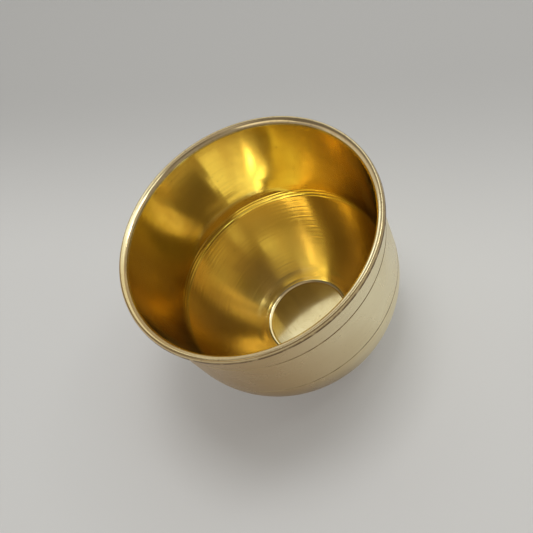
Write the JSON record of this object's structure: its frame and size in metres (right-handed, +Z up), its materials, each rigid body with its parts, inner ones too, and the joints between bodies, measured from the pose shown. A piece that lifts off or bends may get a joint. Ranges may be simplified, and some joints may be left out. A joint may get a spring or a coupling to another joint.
{
  "type": "offering bowl",
  "caption": "Deep turned brass offering bowl: beaded rim, incised lines outside, tapered wall, round belly, flat floor disc inside and a flat ring to stand on.",
  "frame": {"origin": "centre of the flat ring that the bowl stands on", "axes": "+Z up along the bowl's axis, out of its mouth; X and Y are free because the bowl is round"},
  "size_m": [0.1, 0.1, 0.0712],
  "materials": {
    "wall_brass": "polished inside, satin outside",
    "bowl_brass": "turned rings inside, satin outside",
    "floor_brass": "polished",
    "bead_brass": "worn satin with turning lines",
    "rim_solder": "dark and pitted",
    "belly_solder": "polished",
    "floor_solder": "polished"
  },
  "bodies": {
    "root": {"upper_wall": "wall_brass", "lower_bowl": "bowl_brass", "floor_disc": "floor_brass", "rim_bead": "bead_brass", "rim_solder": "rim_solder", "belly_solder": "belly_solder", "floor_solder": "floor_solder"}
  },
  "joints": []
}
